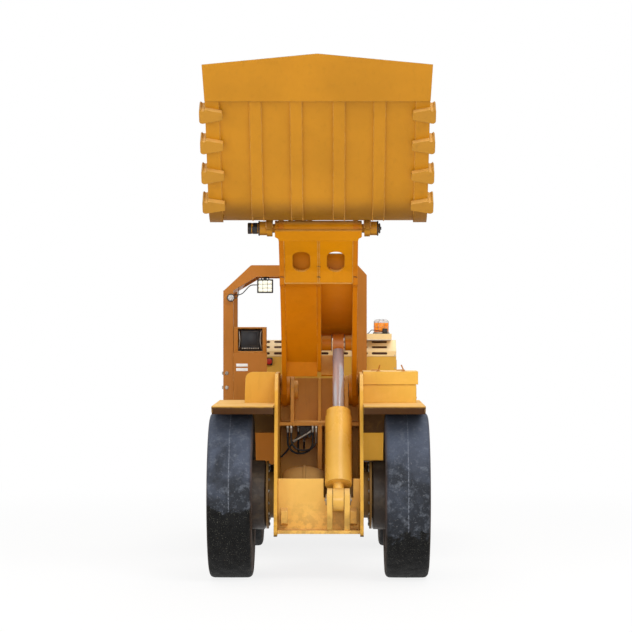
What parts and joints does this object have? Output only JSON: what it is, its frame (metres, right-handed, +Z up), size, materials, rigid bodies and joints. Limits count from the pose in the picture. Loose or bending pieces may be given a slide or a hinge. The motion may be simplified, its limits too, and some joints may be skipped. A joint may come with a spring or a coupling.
{
  "type": "underground mining loader",
  "caption": "Low-profile articulated underground mining loader with raised boom, rolled-back bucket, side compartment under a canopy and rear engine hood.",
  "frame": {"origin": "below the middle of the machine's box, on the ground under the tyres", "axes": "+X to the machine's left as seen by its driver, which is the viewer's right from in front; +Y from the bucket to the engine end; +Z up"},
  "size_m": [1.64, 6.0613, 3.7181],
  "materials": {
    "frame_paint": "dusty orange paint",
    "boom_paint": "orange paint, worn",
    "bucket_paint": "mustard paint, worn and dusty",
    "wear_steel": "painted wear steel, scuffed",
    "hood_paint": "pale sun-lit orange paint",
    "tyre": "dusty rubber",
    "black_rubber": "black hose rubber",
    "hub_black": "black dusty hub",
    "chrome_rod": "polished rod",
    "pin_steel": "dark greased steel",
    "black_steel": "black paint",
    "engine_iron": "cast iron",
    "seat_vinyl": "black vinyl",
    "beacon_amber": "amber lens"
  },
  "bodies": {
    "rear_frame": {"rear_chassis": "frame_paint", "rear_axle": "frame_paint", "bumper": "frame_paint", "cab_tub": "frame_paint", "seat_frame": "black_steel", "seat_cushions": "seat_vinyl", "canopy": "frame_paint", "deck": "frame_paint", "side_tank": "frame_paint", "monitor_housing": "black_steel", "rear_fenders": "frame_paint", "engine_hood": "hood_paint", "engine_block": "engine_iron", "radiator": "black_steel", "drive_shaft_rear": "black_steel", "beacon_base": "hood_paint", "beacon_lens": "beacon_amber", "canopy_lamp": "black_steel", "lamp_cable": "black_rubber"},
    "front_frame": {"front_side_plates": "frame_paint", "front_inner_frame": "frame_paint", "front_nose_plate": "frame_paint", "hydraulic_hoses": "black_rubber", "lift_clevis": "frame_paint", "boom_pivot_pins": "pin_steel", "front_hinge_lugs": "frame_paint", "front_fenders": "frame_paint", "toolbox": "frame_paint", "front_axle": "frame_paint", "drive_shaft_front": "black_steel"},
    "toolbox_lid": {"toolbox_lid": "frame_paint"},
    "hood_door_left": {"hood_door_left": "hood_paint"},
    "hood_door_right": {"hood_door_right": "hood_paint"},
    "boom": {"boom_plates": "boom_paint", "boom_web": "boom_paint", "boom_head": "boom_paint", "boom_cross_pin": "pin_steel"},
    "bucket": {"bucket_shell": "bucket_paint", "bucket_sides": "bucket_paint", "bucket_lip": "wear_steel", "bucket_wear_strips": "wear_steel", "bucket_castings": "wear_steel", "bucket_hinge_lugs": "bucket_paint"},
    "lift_barrel": {"lift_barrel": "frame_paint"},
    "lift_rod": {"lift_rod": "chrome_rod"},
    "dump_barrel": {"dump_barrel": "frame_paint"},
    "dump_rod": {"dump_rod": "chrome_rod"},
    "steer_barrel_left": {"steer_barrel_left": "frame_paint"},
    "steer_rod_left": {"steer_rod_left": "chrome_rod"},
    "steer_barrel_right": {"steer_barrel_right": "frame_paint"},
    "steer_rod_right": {"steer_rod_right": "chrome_rod"},
    "wheel_front_left": {"tyre_front_left": "tyre", "rim_front_left": "hub_black"},
    "wheel_front_right": {"tyre_front_right": "tyre", "rim_front_right": "hub_black"},
    "wheel_rear_left": {"tyre_rear_left": "tyre", "rim_rear_left": "hub_black"},
    "wheel_rear_right": {"tyre_rear_right": "tyre", "rim_rear_right": "hub_black"}
  },
  "joints": [
    {"name": "articulation", "type": "hinge", "parent": "rear_frame", "child": "front_frame", "pos_m": [0, 0.25, 0.725], "axis": [0, 0, 1], "range_deg": [-38, 38]},
    {"name": "boom_lift", "type": "hinge", "parent": "front_frame", "child": "boom", "pos_m": [0, -0.42, 1.39], "axis": [1, 0, 0], "range_deg": [0, 76]},
    {"name": "bucket_tilt", "type": "hinge", "parent": "boom", "child": "bucket", "pos_m": [0, -1.82, 2.593], "axis": [-1, 0, 0], "range_deg": [-92, 40]},
    {"name": "lift_barrel_swing", "type": "hinge", "parent": "front_frame", "child": "lift_barrel", "pos_m": [0.145, -1.36, 0.607], "axis": [-1, 0, 0], "range_deg": [0, 9.5]},
    {"name": "lift_rod_slide", "type": "slide", "parent": "lift_barrel", "child": "lift_rod", "axis": [0, -0.5145, -0.8575], "range_m": [0, 0.5247]},
    {"name": "dump_barrel_swing", "type": "hinge", "parent": "boom", "child": "dump_barrel", "pos_m": [-0.132, -0.67, 1.757], "axis": [1, 0, 0], "range_deg": [-4, 2]},
    {"name": "dump_rod_slide", "type": "slide", "parent": "dump_barrel", "child": "dump_rod", "axis": [0, -0.7292, 0.6843], "range_m": [-0.13, 0.28]},
    {"name": "steer_barrel_swing_left", "type": "hinge", "parent": "rear_frame", "child": "steer_barrel_left", "pos_m": [-0.265, 0.77, 0.69], "axis": [0, 0, 1], "range_deg": [-15, 15]},
    {"name": "steer_rod_slide_left", "type": "slide", "parent": "steer_barrel_left", "child": "steer_rod_left", "axis": [0.0628, -0.998, 0], "range_m": [-0.17, 0.17]},
    {"name": "steer_barrel_swing_right", "type": "hinge", "parent": "rear_frame", "child": "steer_barrel_right", "pos_m": [0.265, 0.77, 0.69], "axis": [0, 0, 1], "range_deg": [-15, 15]},
    {"name": "steer_rod_slide_right", "type": "slide", "parent": "steer_barrel_right", "child": "steer_rod_right", "axis": [-0.0628, -0.998, 0], "range_m": [-0.17, 0.17]},
    {"name": "wheel_spin_front_left", "type": "hinge", "parent": "front_frame", "child": "wheel_front_left", "pos_m": [-0.655, -1.02, 0.62], "axis": [1, 0, 0], "continuous": true},
    {"name": "wheel_spin_front_right", "type": "hinge", "parent": "front_frame", "child": "wheel_front_right", "pos_m": [0.655, -1.02, 0.62], "axis": [1, 0, 0], "continuous": true},
    {"name": "wheel_spin_rear_left", "type": "hinge", "parent": "rear_frame", "child": "wheel_rear_left", "pos_m": [-0.655, 1.52, 0.62], "axis": [1, 0, 0], "continuous": true},
    {"name": "wheel_spin_rear_right", "type": "hinge", "parent": "rear_frame", "child": "wheel_rear_right", "pos_m": [0.655, 1.52, 0.62], "axis": [1, 0, 0], "continuous": true},
    {"name": "toolbox_lid_hinge", "type": "hinge", "parent": "front_frame", "child": "toolbox_lid", "pos_m": [0.54, -0.518, 1.543], "axis": [-1, 0, 0], "range_deg": [0, 85]},
    {"name": "hood_door_hinge_left", "type": "hinge", "parent": "rear_frame", "child": "hood_door_left", "pos_m": [-0.6403, 1.93, 1.585], "axis": [0, 1, 0], "range_deg": [0, 80]},
    {"name": "hood_door_hinge_right", "type": "hinge", "parent": "rear_frame", "child": "hood_door_right", "pos_m": [0.6403, 1.93, 1.585], "axis": [0, -1, 0], "range_deg": [0, 80]}
  ],
  "couplings": [
    {"joint": "lift_barrel_swing", "follows": "boom_lift", "ratio": 0.11569},
    {"joint": "lift_rod_slide", "follows": "boom_lift", "m_per_rad": 0.39403},
    {"joint": "dump_barrel_swing", "follows": "bucket_tilt", "ratio": 0.03},
    {"joint": "dump_rod_slide", "follows": "bucket_tilt", "m_per_rad": -0.17},
    {"joint": "steer_barrel_swing_right", "follows": "articulation", "ratio": 0.31456},
    {"joint": "steer_rod_slide_right", "follows": "articulation", "m_per_rad": -0.22596},
    {"joint": "steer_barrel_swing_left", "follows": "articulation", "ratio": 0.31456},
    {"joint": "steer_rod_slide_left", "follows": "articulation", "m_per_rad": 0.22596}
  ]
}
